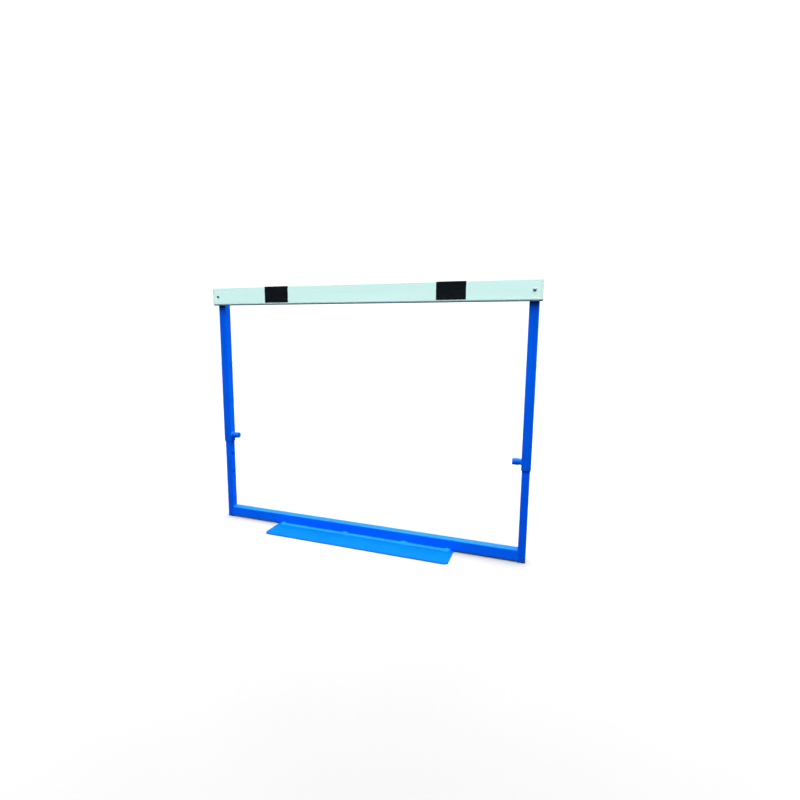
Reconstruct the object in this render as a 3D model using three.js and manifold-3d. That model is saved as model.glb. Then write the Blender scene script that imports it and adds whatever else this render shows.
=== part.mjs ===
// Track hurdle: a board on two telescoping square uprights, held at five heights by a spring pin on each.
// Millimetres. X runs along the bar, Y away from the side with the foot plate, Z up from the ground.
// The origin lies on the ground under the middle of the bar, in the plane of the uprights' axes.

import * as THREE from 'three';
import { mergeVertices } from 'three/addons/utils/BufferGeometryUtils.js';
import Module from 'manifold-3d';

const wasm = await Module();
wasm.setup();

// Clearances
const seatGap = 0.2; // between two pieces that rest on each other
const tapeGap = 0.05; // between the bar and its tape
const overrun = 5; // how far a cutting tool passes the face that it leaves
const mergeTolerance = 0.0001;

// Height settings
const lowestSetting = 762; // from the ground to the bar's top
const settingPitch = 76.2;
const settingCount = 5;
const settingInUse = 2; // counted from the lowest, which is 0

// Crossbar
const barLength = 1205;
const barOverhang = 9.5; // past the outer uprights at each end
const barHeight = 65;
const barThickness = 18;
const barTopRadius = 1.5;
const barBottomRadius = 6;
const barEndBevel = 1;

// Black tape on the bar's front, folded over its top edge
const stripeWidth = 97;
const stripeThickness = 0.3;
const stripeCentre = 322; // from the middle of the bar
const stripeBottomMargin = 7.2;

// Outer uprights
const outerTubeSide = 30;
const outerTubeWall = 2;
const outerTubeRadius = 3;
const outerTubeTopDrop = 4; // from the bar's top to the tube's top
const pinDrop = 573.4; // from the bar's top to the spring pins' axis
const outerTubePinMargin = 25.5; // from the pins' axis to the tube's lower end

// Lower uprights, which slide in the outer ones
const slideClearance = 0.5; // on each side
const innerTubeWall = 2;
const innerTubeRadius = 2.5;
const innerTubeTopMargin = 130; // from the highest hole to the tube's top

// Foot plate
const plateLength = 700;
const plateWidth = 125;
const plateThickness = 4;
const plateFrontRadius = 14;
const plateRearRadius = 3;
const plateEdgeBevel = 0.5;

// Crossmember
const crossmemberHeight = 38;
const crossmemberDepth = 30;
const crossmemberWall = 2;
const crossmemberRadius = 3;

// Weld between the plate and the crossmember
const plateWeldHeight = 5;
const plateWeldReach = 10;
const plateWeldEndMargin = 8;
const plateWeldStep = 7;
const tackRise = 4.5;
const tackReach = 3;
const tackHalfLength = 11;
const tackPlaceShares = [-0.94, -0.175, 0.485, 0.95]; // of half the plate's length
const plateWeldArcPoints = 4;

// Welds in the bottom corners
const cornerWeldLeg = 4;

// Plastic plugs and caps in the tube ends
const plugFlange = 2.6;
const plugFlangeBevel = 0.8;
const plugStemLength = 16;
const plugStemWall = 1.8;
const plugFit = 0.9; // between the stem and the bore, on each side
const plugFinCount = 3;
const plugFinThickness = 1.2;
const plugFinFit = 0.3;

// Bar bolts, M6
const boltDrop = 31; // from the bar's top
const boltDiameter = 6;
const boltHoleFit = 0.4; // radial
const boltHeadDiameter = 10.5;
const boltHeadHeight = 3.3;
const boltHeadEdge = 0.7;
const boltSocketWidth = 4;
const boltSocketDepth = 2;
const boltEndPast = 1.8;
const boltEndChamfer = 0.8;
const washerDiameter = 12;
const washerThickness = 1.6;
const washerFit = 0.3;
const nutWidth = 10;
const nutHeight = 6;
const nutFit = 0.2;

// Spring pins, measured along the pin from the outer tube's inner side face
const noseDiameter = 10;
const noseChamfer = 1;
const noseTipGap = 0.3; // between the nose and the lower upright while the pin rides on it
const indexHoleFit = 0.2; // radial, in both tubes
const shoulderStep = 1; // from the nose out to the shoulder
const shoulderThickness = 2;
const rodDiameter = 6;
const rodEndGap = 0.7;
const lockTravel = 3.5; // from riding on the tube to home in a hole
const shoulderStopGap = 0.3; // left to the tube wall when the pin is home

const barrelFit = 0.3; // round the shoulder
const barrelWall = 3.2;
const barrelWeldReach = 4.4; // along the outer tube
const barrelWeldLeg = 2.9; // along the barrel
const barrelWeldToe = 0.3;
const barrelWeldGap = 0.1;

const bushFlangeInset = 1; // from the barrel's outside
const bushFlangeThickness = 1.6;
const bushDepth = 3.5;
const bushFit = 0.2;
const bushRodFit = 0.2;

const springSpace = 8.4; // from the shoulder to the bush
const springWire = 0.9;
const springTurns = 3.2;
const springEndGap = 0.3;

const knobBoreFit = 0.3;
const knobWall = 1.2;
const knobEndWall = 6;
const knobFloorGap = 0.7; // left to the bush when the pin is home
const knobEndRound = 1.6;
const knobRimChamfer = 0.4;
const knobRimGap = 0.3; // left to the weld ring when the pin is home
const knobSocketDepth = 5;
const knobSocketFit = 0.2;
const crossPinDiameter = 2.4;
const crossPinFit = 0.2;
const crossPinInset = 0.3;
const crossPinChamfer = 0.3;

// Facets, where an arc of a shape has two sides for each of its segments
const cornerSegments = 2;
const plugCornerSegments = 1;
const bevelSegments = 2;
const boreSides = 24;
const turnedSides = 24;
const crossPinSides = 12;
const arcSteps = 4;
const wireSegments = 3;
const springStepsPerTurn = 12;

// Derived sizes and places
const innerTubeSide = outerTubeSide - 2 * (outerTubeWall + slideClearance);
const barTopHeight = lowestSetting + settingInUse * settingPitch;
const lowestHoleHeight = lowestSetting - pinDrop;
const highestHoleHeight = lowestHoleHeight + (settingCount - 1) * settingPitch;
const uprightX = barLength / 2 - barOverhang - outerTubeSide / 2;
const innerFaceX = uprightX - outerTubeSide / 2;
const frontOfInnerTube = -innerTubeSide / 2;
const standHeight = plateThickness + seatGap;
const innerTubeLength = highestHoleHeight + innerTubeTopMargin - standHeight;
const pinHeight = barTopHeight - pinDrop;
const outerTubeBottom = pinHeight - outerTubePinMargin;
const outerTubeTop = barTopHeight - outerTubeTopDrop;
const crossmemberY = frontOfInnerTube + crossmemberDepth / 2;
const crossmemberTop = standHeight + crossmemberHeight;
const crossmemberEndX = uprightX - innerTubeSide / 2 - seatGap;
const plateRearY = frontOfInnerTube + crossmemberDepth;
const barRearY = -outerTubeSide / 2 - seatGap;
const barFrontY = barRearY - barThickness;
const boltHeight = barTopHeight - boltDrop;
const boltHoleDiameter = boltDiameter + 2 * boltHoleFit;
const indexHoleDiameter = noseDiameter + 2 * indexHoleFit;
const shoulderDiameter = noseDiameter + 2 * shoulderStep;
const barrelBore = shoulderDiameter + 2 * barrelFit;
const barrelDiameter = barrelBore + 2 * barrelWall;
const springMeanDiameter = (barrelBore + rodDiameter) / 2;
const knobBore = barrelDiameter + 2 * knobBoreFit;
const knobDiameter = knobBore + 2 * knobWall;

// Derived places along a spring pin that rides on the lower upright
const noseTip = noseTipGap - outerTubeWall - slideClearance;
const shoulderStart = lockTravel + shoulderStopGap;
const shoulderEnd = shoulderStart + shoulderThickness;
const barrelStart = seatGap;
const bushStart = shoulderEnd + springSpace;
const barrelEnd = bushStart + bushDepth;
const bushFlangeStart = barrelEnd + seatGap;
const bushEnd = bushFlangeStart + bushFlangeThickness;
const barrelWeldEnd = barrelStart + barrelWeldToe + barrelWeldLeg;
const knobStart = barrelWeldEnd + knobRimGap + lockTravel;
const knobFloor = bushEnd + knobFloorGap + lockTravel;
const knobEnd = knobFloor + knobEndWall;
const knobSocketEnd = knobFloor + knobSocketDepth;
const rodEnd = knobSocketEnd - rodEndGap;
const crossPinPlace = (knobFloor + rodEnd) / 2;

// Materials
const bluePaint = { color: 0x0a5fe0, roughness: 0.32, metalness: 0 };
const barPaint = { color: 0xd2f1ea, roughness: 0.45, metalness: 0 };
const blackTape = { color: 0x0d1114, roughness: 0.5, metalness: 0 };
const blackPlastic = { color: 0x16181b, roughness: 0.6, metalness: 0 };
const zincSteel = { color: 0xb4b8bc, roughness: 0.35, metalness: 1 };
const springSteel = { color: 0x8d9094, roughness: 0.3, metalness: 1 };
const brass = { color: 0xb99a4c, roughness: 0.35, metalness: 1 };

// Turns a closed geometry into a solid for joining and cutting.
function solidOf(geometry) {
  const bare = geometry.clone();
  bare.deleteAttribute('normal');
  bare.deleteAttribute('uv');
  const merged = mergeVertices(bare, mergeTolerance);
  return new wasm.Manifold(new wasm.Mesh({
    numProp: 3,
    vertProperties: merged.attributes.position.array,
    triVerts: new Uint32Array(merged.index.array),
  }));
}

function geometryOf(solid) {
  const mesh = solid.getMesh();
  const geometry = new THREE.BufferGeometry();
  geometry.setAttribute('position', new THREE.BufferAttribute(mesh.vertProperties, mesh.numProp));
  geometry.setIndex(new THREE.BufferAttribute(mesh.triVerts, 1));
  geometry.computeVertexNormals();
  return geometry;
}

function cut(geometry, ...tools) {
  let body = solidOf(geometry);
  for (const tool of tools) {
    body = body.subtract(solidOf(tool));
  }
  return geometryOf(body);
}

function join(geometry, ...others) {
  let body = solidOf(geometry);
  for (const other of others) {
    body = body.add(solidOf(other));
  }
  return geometryOf(body);
}

// Adds a rectangle with arc corners, centred on the origin, to a shape or a hole. Its front is at minus Y.
function addRectangle(path, width, depth, frontRadius, rearRadius = frontRadius) {
  const x = width / 2;
  const y = depth / 2;
  path.absarc(x - frontRadius, frontRadius - y, frontRadius, -Math.PI / 2, 0);
  path.absarc(x - rearRadius, y - rearRadius, rearRadius, 0, Math.PI / 2);
  path.absarc(rearRadius - x, y - rearRadius, rearRadius, Math.PI / 2, Math.PI);
  path.absarc(frontRadius - x, frontRadius - y, frontRadius, Math.PI, 1.5 * Math.PI);
  return path;
}

// An upright length of rectangular tube, open at both ends, standing on Z = 0.
function squareTube(width, depth, radius, wall, length, curveSegments = cornerSegments) {
  const shape = addRectangle(new THREE.Shape(), width, depth, radius);
  const boreRadius = Math.max(radius - wall, wall / 4);
  shape.holes.push(addRectangle(new THREE.Path(), width - 2 * wall, depth - 2 * wall, boreRadius));
  return new THREE.ExtrudeGeometry(shape, { depth: length, bevelEnabled: false, curveSegments });
}

// A rectangular block standing on Z = 0, whose two ends are bevelled within its length.
function bevelledBlock(width, depth, radius, height, bevel, rearRadius = radius) {
  const shape = addRectangle(new THREE.Shape(), width, depth, radius, rearRadius);
  const block = new THREE.ExtrudeGeometry(shape, {
    depth: height - 2 * bevel,
    bevelEnabled: true,
    bevelThickness: bevel,
    bevelSize: bevel,
    bevelOffset: -bevel,
    bevelSegments,
    curveSegments: cornerSegments,
  });
  return block.translate(0, 0, bevel);
}

// A cylinder for cutting holes, centred on a place and lying along an axis.
function drill(axis, diameter, length, x, y, z) {
  const bit = new THREE.CylinderGeometry(diameter / 2, diameter / 2, length, boreSides);
  if (axis === 'x') {
    bit.rotateZ(Math.PI / 2);
  }
  if (axis === 'z') {
    bit.rotateX(Math.PI / 2);
  }
  return bit.translate(x, y, z);
}

// Revolves a profile of [radius, place] points about the X axis. A ring's profile is closed by itself.
function turned(profile, sides = turnedSides) {
  const points = profile.map(([radius, place]) => new THREE.Vector2(radius, place));
  if (profile[0][0] > 0) {
    points.push(points[0].clone());
  }
  const lathe = new THREE.LatheGeometry(points, sides);
  lathe.rotateZ(-Math.PI / 2);
  return geometryOf(solidOf(lathe));
}

// Points of a turned profile's elliptic arc about (radius, place), with its two half axes and its end angles.
function arcPoints(radius, place, across, along, from, to) {
  const points = [];
  for (let i = 0; i <= arcSteps; i += 1) {
    const angle = from + (to - from) * i / arcSteps;
    points.push([radius + across * Math.cos(angle), place + along * Math.sin(angle)]);
  }
  return points;
}

// Joins a row of closed sections, each with as many points, into one body with flat ends.
function loft(sections) {
  const count = sections[0].length;
  const positions = sections.flat().flatMap((point) => point.toArray());
  const index = [];
  for (let i = 0; i < sections.length - 1; i += 1) {
    for (let j = 0; j < count; j += 1) {
      const here = i * count + j;
      const next = i * count + (j + 1) % count;
      index.push(here, next, next + count);
      index.push(here, next + count, here + count);
    }
  }
  const last = (sections.length - 1) * count;
  for (let j = 1; j < count - 1; j += 1) {
    index.push(0, j + 1, j);
    index.push(last, last + j, last + j + 1);
  }
  const geometry = new THREE.BufferGeometry();
  geometry.setAttribute('position', new THREE.Float32BufferAttribute(positions, 3));
  geometry.setIndex(index);
  geometry.computeVertexNormals();
  return geometry;
}

class Helix extends THREE.Curve {
  constructor(radius, length, turns) {
    super();
    this.radius = radius;
    this.length = length;
    this.turns = turns;
  }

  getPoint(share, target = new THREE.Vector3()) {
    const angle = 2 * Math.PI * this.turns * share;
    return target.set(this.length * share, this.radius * Math.cos(angle), this.radius * Math.sin(angle));
  }
}

function addMesh(group, name, geometry, look, position) {
  const mesh = new THREE.Mesh(geometry, new THREE.MeshStandardMaterial(look));
  mesh.name = name;
  if (position) {
    mesh.position.set(...position);
  }
  group.add(mesh);
}

// A side is the left one, at minus X, or the right one. inward is the direction of the middle along X.
const sides = [
  { label: 'left', x: -uprightX, inward: 1 },
  { label: 'right', x: uprightX, inward: -1 },
];

// Base frame

function lowerUpright(side) {
  const tube = squareTube(innerTubeSide, innerTubeSide, innerTubeRadius, innerTubeWall, innerTubeLength);
  const holes = [];
  for (let setting = 0; setting < settingCount; setting += 1) {
    const height = lowestHoleHeight + setting * settingPitch - standHeight;
    const wallX = side.inward * (innerTubeSide - innerTubeWall) / 2;
    holes.push(drill('x', indexHoleDiameter, innerTubeWall + overrun, wallX, 0, height));
  }
  return cut(tube, ...holes);
}

function crossmember() {
  const length = 2 * crossmemberEndX;
  const tube = squareTube(
    crossmemberHeight,
    crossmemberDepth,
    crossmemberRadius,
    crossmemberWall,
    length,
  );
  tube.rotateY(Math.PI / 2);
  return tube.translate(-length / 2, 0, 0);
}

function basePlate() {
  return bevelledBlock(
    plateLength,
    plateWidth,
    plateFrontRadius,
    plateThickness,
    plateEdgeBevel,
    plateRearRadius,
  );
}

// How much of a tack's full size the bead has at x: 1 on a tack's middle, falling smoothly to 0.
function tackShare(x) {
  let share = 0;
  for (const place of tackPlaceShares) {
    const offset = (x - place * plateLength / 2) / tackHalfLength;
    share = Math.max(share, Math.exp(-(offset ** 4)));
  }
  return share;
}

// The fillet along the crossmember's front bottom edge. It grows at each tack and closes at both ends.
function plateWeld() {
  const half = plateLength / 2 - plateWeldEndMargin;
  const steps = Math.round(2 * half / plateWeldStep);
  const sections = [];
  for (let i = 0; i <= steps; i += 1) {
    const x = -half + 2 * half * i / steps;
    const taper = Math.sqrt(Math.min(1, (half + plateWeldStep / 2 - Math.abs(x)) / (2 * plateWeldStep)));
    const height = taper * (plateWeldHeight + tackRise * tackShare(x));
    const reach = taper * (plateWeldReach + tackReach * tackShare(x));
    const section = [new THREE.Vector3(x, 0, 0)];
    for (let j = 0; j <= plateWeldArcPoints; j += 1) {
      const angle = Math.PI / 2 * j / plateWeldArcPoints;
      const bulge = (1 + Math.sin(2 * angle) / 4) / (Math.cos(angle) + Math.sin(angle));
      section.push(new THREE.Vector3(x, -reach * Math.sin(angle) * bulge, height * Math.cos(angle) * bulge));
    }
    sections.push(section);
  }
  return loft(sections);
}

// A fillet in the corner between the crossmember's top and a lower upright, whose legs run along X and Z.
function cornerWeld(side) {
  const length = innerTubeSide - 2 * innerTubeRadius;
  const shape = new THREE.Shape();
  shape.moveTo(0, 0);
  shape.lineTo(cornerWeldLeg, 0);
  shape.quadraticCurveTo(cornerWeldLeg / 2, cornerWeldLeg / 2, 0, cornerWeldLeg);
  const bead = new THREE.ExtrudeGeometry(shape, {
    depth: length,
    bevelEnabled: false,
    curveSegments: arcSteps,
  });
  bead.rotateX(Math.PI / 2);
  bead.translate(0, length / 2, 0);
  if (side.inward < 0) {
    bead.rotateZ(Math.PI);
  }
  return bead;
}

// A plastic plug for a tube end: the flange on top, then a hollow stem with fins that grip the bore.
function tubePlug(side, radius, wall) {
  const bore = side - 2 * wall;
  const flange = bevelledBlock(side, side, radius, plugFlange, plugFlangeBevel);
  const stemSide = bore - 2 * plugFit;
  const stemRadius = Math.max(radius - wall, wall / 4);
  const stem = squareTube(
    stemSide,
    stemSide,
    stemRadius,
    plugStemWall,
    plugStemLength + plugFlange / 2,
    plugCornerSegments,
  );
  stem.translate(0, 0, -plugStemLength);
  const fins = [];
  for (let i = 0; i < plugFinCount; i += 1) {
    const finSide = bore - 2 * plugFinFit;
    const fin = squareTube(
      finSide,
      finSide,
      stemRadius,
      plugStemWall,
      plugFinThickness,
      plugCornerSegments,
    );
    const height = -plugStemLength * (i + 1) / (plugFinCount + 1);
    fins.push(fin.translate(0, 0, height));
  }
  return join(flange, stem, ...fins);
}

function buildBase() {
  const group = new THREE.Group();
  addMesh(group, 'crossmember', crossmember(), bluePaint,
    [0, crossmemberY, standHeight + crossmemberHeight / 2]);
  addMesh(group, 'base_plate', basePlate(), bluePaint, [0, plateRearY - plateWidth / 2, 0]);
  addMesh(group, 'plate_weld', plateWeld(), bluePaint, [0, frontOfInnerTube - seatGap, standHeight]);
  for (const side of sides) {
    const cornerX = side.x + side.inward * (innerTubeSide / 2 + seatGap);
    const plug = tubePlug(innerTubeSide, innerTubeRadius, innerTubeWall);
    plug.rotateX(Math.PI);
    addMesh(group, `lower_upright_${side.label}`, lowerUpright(side), bluePaint,
      [side.x, 0, standHeight]);
    addMesh(group, `crossmember_weld_${side.label}`, cornerWeld(side), bluePaint,
      [cornerX, 0, crossmemberTop + seatGap]);
    addMesh(group, `foot_plug_${side.label}`, plug, blackPlastic, [side.x, 0, standHeight - seatGap]);
  }
  return group;
}

// Upper frame

function upperUpright(side) {
  const tube = squareTube(
    outerTubeSide,
    outerTubeSide,
    outerTubeRadius,
    outerTubeWall,
    outerTubeTop - outerTubeBottom,
  );
  const wallX = side.inward * (outerTubeSide - outerTubeWall) / 2;
  const pinHole = drill('x', indexHoleDiameter, outerTubeWall + overrun, wallX, 0, outerTubePinMargin);
  const boltHole = drill('y', boltHoleDiameter, outerTubeSide + overrun, 0, 0, boltHeight - outerTubeBottom);
  return cut(tube, pinHole, boltHole);
}

// Turns a shape that is drawn across the bar and extruded, so that its X and Y become Y and Z.
// Its length then lies along X, centred on the origin.
function layAlongBar(geometry, length) {
  geometry.rotateX(Math.PI / 2);
  geometry.rotateZ(Math.PI / 2);
  return geometry.translate(-length / 2, 0, 0);
}

// The board, centred on the origin, with its thickness along Y.
function crossbar() {
  const board = layAlongBar(
    bevelledBlock(barThickness, barHeight, barBottomRadius, barLength, barEndBevel, barTopRadius),
    barLength,
  );
  const boltRise = barHeight / 2 - boltDrop;
  const holes = sides.map((side) => (
    drill('y', boltHoleDiameter, barThickness + overrun, side.x, 0, boltRise)
  ));
  return cut(board, ...holes);
}

// Tape that follows the board's front, its top front corner and half of its top.
function stripe() {
  const bottom = stripeBottomMargin - barHeight / 2;
  const cornerX = barTopRadius - barThickness / 2;
  const cornerY = barHeight / 2 - barTopRadius;
  const inner = barTopRadius + tapeGap;
  const outer = inner + stripeThickness;
  const shape = new THREE.Shape();
  shape.moveTo(cornerX - outer, bottom);
  shape.absarc(cornerX, cornerY, outer, Math.PI, Math.PI / 2, true);
  shape.lineTo(0, cornerY + outer);
  shape.lineTo(0, cornerY + inner);
  shape.absarc(cornerX, cornerY, inner, Math.PI / 2, Math.PI, false);
  shape.lineTo(cornerX - inner, bottom);
  shape.closePath();
  const tape = new THREE.ExtrudeGeometry(shape, {
    depth: stripeWidth,
    bevelEnabled: false,
    curveSegments: cornerSegments,
  });
  return layAlongBar(tape, stripeWidth);
}

// A domed socket head and a plain shank along +X, with the head's underside at the origin.
function barBolt() {
  const shankLength = barThickness + outerTubeSide + washerThickness + nutHeight + boltEndPast + 4 * seatGap;
  const headRadius = boltHeadDiameter / 2;
  const domeHeight = boltHeadHeight - boltHeadEdge;
  const shankRadius = boltDiameter / 2;
  const dome = [];
  for (let i = 0; i <= arcSteps; i += 1) {
    const angle = Math.PI / 2 * i / arcSteps;
    dome.push([headRadius * Math.sin(angle), -boltHeadEdge - domeHeight * Math.cos(angle)]);
  }
  const bolt = turned([
    ...dome,
    [headRadius, 0],
    [shankRadius, 0],
    [shankRadius, shankLength - boltEndChamfer],
    [shankRadius - boltEndChamfer, shankLength],
    [0, shankLength],
  ]);
  const socketRadius = boltSocketWidth / Math.sqrt(3);
  const socket = new THREE.CylinderGeometry(socketRadius, socketRadius, boltSocketDepth + overrun, 6);
  socket.rotateZ(Math.PI / 2);
  socket.translate(boltSocketDepth - boltHeadHeight - (boltSocketDepth + overrun) / 2, 0, 0);
  return cut(bolt, socket);
}

function washer() {
  const bore = boltDiameter / 2 + washerFit;
  return turned([
    [bore, 0],
    [washerDiameter / 2, 0],
    [washerDiameter / 2, washerThickness],
    [bore, washerThickness],
  ]);
}

// A hexagon nut along +X whose corners are turned off at both ends.
function nut() {
  const cornerRadius = nutWidth / Math.sqrt(3);
  const hexagon = new THREE.CylinderGeometry(cornerRadius, cornerRadius, nutHeight, 6);
  hexagon.rotateZ(Math.PI / 2);
  hexagon.translate(nutHeight / 2, 0, 0);
  const corner = cornerRadius - nutWidth / 2;
  const blank = turned([
    [0, 0],
    [nutWidth / 2, 0],
    [cornerRadius, corner],
    [cornerRadius, nutHeight - corner],
    [nutWidth / 2, nutHeight],
    [0, nutHeight],
  ]);
  const body = solidOf(hexagon).intersect(solidOf(blank));
  const bore = drill('x', boltDiameter + 2 * nutFit, nutHeight + 2 * overrun, nutHeight / 2, 0, 0);
  return geometryOf(body.subtract(solidOf(bore)));
}

function pinBarrel() {
  return turned([
    [barrelBore / 2, barrelStart],
    [barrelDiameter / 2, barrelStart],
    [barrelDiameter / 2, barrelEnd],
    [barrelBore / 2, barrelEnd],
  ]);
}

// A hollow-faced ring of weld round the barrel's root.
function barrelWeld() {
  const inner = barrelDiameter / 2 + barrelWeldGap;
  const outer = inner + barrelWeldReach;
  return turned([
    [inner, barrelStart],
    [outer, barrelStart],
    ...arcPoints(outer, barrelWeldEnd, barrelWeldReach, barrelWeldLeg, -Math.PI / 2, -Math.PI),
  ]);
}

function barrelBush() {
  const bore = rodDiameter / 2 + bushRodFit;
  const stem = barrelBore / 2 - bushFit;
  const flange = barrelDiameter / 2 - bushFlangeInset;
  return turned([
    [bore, bushStart],
    [stem, bushStart],
    [stem, bushFlangeStart],
    [flange, bushFlangeStart],
    [flange, bushEnd],
    [bore, bushEnd],
  ]);
}

function pinSpring() {
  const start = shoulderEnd + springEndGap + springWire / 2;
  const length = bushStart - springEndGap - springWire / 2 - start;
  const section = new THREE.Shape();
  section.absarc(0, 0, springWire / 2, 0, 2 * Math.PI);
  const coil = new THREE.ExtrudeGeometry(section, {
    steps: Math.round(springTurns * springStepsPerTurn),
    extrudePath: new Helix(springMeanDiameter / 2, length, springTurns),
    curveSegments: wireSegments,
  });
  return coil.translate(start, 0, 0);
}

// Spring pins

function lockPin() {
  const nose = noseDiameter / 2;
  const rod = rodDiameter / 2;
  const body = turned([
    [0, noseTip],
    [nose - noseChamfer, noseTip],
    [nose, noseTip + noseChamfer],
    [nose, shoulderStart],
    [shoulderDiameter / 2, shoulderStart],
    [shoulderDiameter / 2, shoulderEnd],
    [rod, shoulderEnd],
    [rod, rodEnd],
    [0, rodEnd],
  ]);
  const hole = drill('z', crossPinDiameter + 2 * crossPinFit, rodDiameter + overrun, crossPinPlace, 0, 0);
  return cut(body, hole);
}

// A cup that covers the barrel, with a socket for the rod in its closed end.
function pullKnob() {
  const outer = knobDiameter / 2;
  const bore = knobBore / 2;
  const socket = rodDiameter / 2 + knobSocketFit;
  const cup = turned([
    [0, knobSocketEnd],
    [socket, knobSocketEnd],
    [socket, knobFloor],
    [bore, knobFloor],
    [bore, knobStart + knobRimChamfer],
    [bore + knobRimChamfer, knobStart],
    [outer - knobRimChamfer, knobStart],
    [outer, knobStart + knobRimChamfer],
    ...arcPoints(outer - knobEndRound, knobEnd - knobEndRound, knobEndRound, knobEndRound, 0, Math.PI / 2),
    [0, knobEnd],
  ]);
  const hole = drill('z', crossPinDiameter + 2 * crossPinFit, knobDiameter + overrun, crossPinPlace, 0, 0);
  return cut(cup, hole);
}

// The cross pin, lying along Z.
function knobPin() {
  const half = knobDiameter / 2 - crossPinInset;
  const radius = crossPinDiameter / 2;
  const pin = turned([
    [0, -half],
    [radius - crossPinChamfer, -half],
    [radius, crossPinChamfer - half],
    [radius, half - crossPinChamfer],
    [radius - crossPinChamfer, half],
    [0, half],
  ], crossPinSides);
  pin.rotateY(-Math.PI / 2);
  return pin.translate(crossPinPlace, 0, 0);
}

// A group at the outer tube's inner side face, level with the pin, whose +X points to the hurdle's middle.
function pinGroup(side) {
  const group = new THREE.Group();
  group.position.set(-side.inward * innerFaceX, 0, pinHeight);
  if (side.inward < 0) {
    group.rotation.z = Math.PI;
  }
  return group;
}

function buildUpperFrame() {
  const group = new THREE.Group();
  const barY = (barFrontY + barRearY) / 2;
  const barZ = barTopHeight - barHeight / 2;
  addMesh(group, 'crossbar', crossbar(), barPaint, [0, barY, barZ]);
  for (const side of sides) {
    const { label, x, inward } = side;
    addMesh(group, `upper_upright_${label}`, upperUpright(side), bluePaint, [x, 0, outerTubeBottom]);
    const cap = tubePlug(outerTubeSide, outerTubeRadius, outerTubeWall);
    addMesh(group, `upright_cap_${label}`, cap, blackPlastic, [x, 0, outerTubeTop + seatGap]);
    addMesh(group, `stripe_${label}`, stripe(), blackTape, [-inward * stripeCentre, barY, barZ]);

    const bolts = new THREE.Group();
    bolts.position.set(x, barFrontY, boltHeight);
    bolts.rotation.z = Math.PI / 2;
    const washerPlace = barThickness + seatGap + outerTubeSide + seatGap;
    addMesh(bolts, `bar_bolt_${label}`, barBolt(), zincSteel, [-seatGap, 0, 0]);
    addMesh(bolts, `bar_washer_${label}`, washer(), zincSteel, [washerPlace, 0, 0]);
    addMesh(bolts, `bar_nut_${label}`, nut(), zincSteel, [washerPlace + washerThickness + seatGap, 0, 0]);
    group.add(bolts);

    const housing = pinGroup(side);
    addMesh(housing, `pin_barrel_${label}`, pinBarrel(), bluePaint);
    addMesh(housing, `barrel_weld_${label}`, barrelWeld(), bluePaint);
    addMesh(housing, `barrel_bush_${label}`, barrelBush(), brass);
    addMesh(housing, `pin_spring_${label}`, pinSpring(), springSteel);
    group.add(housing);
  }
  return group;
}

function buildSpringPin(side) {
  const group = pinGroup(side);
  addMesh(group, `lock_pin_${side.label}`, lockPin(), zincSteel);
  addMesh(group, `pull_knob_${side.label}`, pullKnob(), bluePaint);
  addMesh(group, `knob_pin_${side.label}`, knobPin(), zincSteel);
  return group;
}

const group = new THREE.Group();
group.add(buildBase());
group.add(buildUpperFrame());
for (const side of sides) {
  group.add(buildSpringPin(side));
}

export default group;
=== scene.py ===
"""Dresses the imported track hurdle: finer painted steel, a painted board, tape and turned parts. Metres."""
import math

import bmesh
import bpy
from mathutils import Matrix, Vector, noise


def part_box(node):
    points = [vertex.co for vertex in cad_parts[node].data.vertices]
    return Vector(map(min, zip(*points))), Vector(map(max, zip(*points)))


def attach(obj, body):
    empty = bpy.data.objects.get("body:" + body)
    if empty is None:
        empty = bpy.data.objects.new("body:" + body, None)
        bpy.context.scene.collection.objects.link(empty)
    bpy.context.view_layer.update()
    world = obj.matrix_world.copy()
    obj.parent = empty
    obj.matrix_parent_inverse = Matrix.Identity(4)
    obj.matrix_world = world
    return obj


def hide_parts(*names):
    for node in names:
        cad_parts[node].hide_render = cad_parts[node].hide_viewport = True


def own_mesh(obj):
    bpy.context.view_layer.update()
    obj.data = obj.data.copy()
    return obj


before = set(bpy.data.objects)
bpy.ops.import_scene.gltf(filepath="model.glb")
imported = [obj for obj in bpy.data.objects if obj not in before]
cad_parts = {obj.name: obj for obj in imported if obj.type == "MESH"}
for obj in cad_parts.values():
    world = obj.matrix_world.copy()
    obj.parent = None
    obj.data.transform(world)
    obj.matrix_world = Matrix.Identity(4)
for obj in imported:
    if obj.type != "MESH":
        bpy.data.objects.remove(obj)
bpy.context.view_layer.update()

SIDES = (("left", -1), ("right", 1))

# Fineness of the meshes
CORNER_STEPS = 8
RIM_STEPS = 4
TURNED_STEPS = 72
KNOB_STEPS = 96
HOLE_STEPS = 48
CROSS_PIN_STEPS = 36
SUPPORT = 0.0004  # flat kept beside each rounding
LEAST_RADIUS = 0.0002
MERGE_DISTANCE = 1e-7
SHARP_ANGLE = math.radians(32)

# Sizes that several pieces share
TUBE_WALL = 0.002
TUBE_RIM = 0.0005
OUTER_TUBE_RADIUS = 0.003
OUTER_TUBE_INNER_FACE = 0.563
OUTER_TUBE_BOTTOM = 0.3155
LOWER_TUBE_RADIUS = 0.0025
LOWER_TUBE_HALF_WIDTH = 0.0125
LOWER_TUBE_INNER_FACE = 0.5655
PIN_HEIGHT = 0.341
SETTING_STEP = 0.0762
HOLE_RADIUS = 0.0052
HOLE_CHAMFER = 0.0004
HOLE_HEIGHTS = tuple(PIN_HEIGHT + SETTING_STEP * step for step in range(-2, 3))
CUT_CLEARANCE = 0.001
BOLT_X = 0.578
BOLT_HEIGHT = 0.8834
BOLT_HOLE_RADIUS = 0.0034
BAR_TOP_RADIUS = 0.0015

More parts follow.
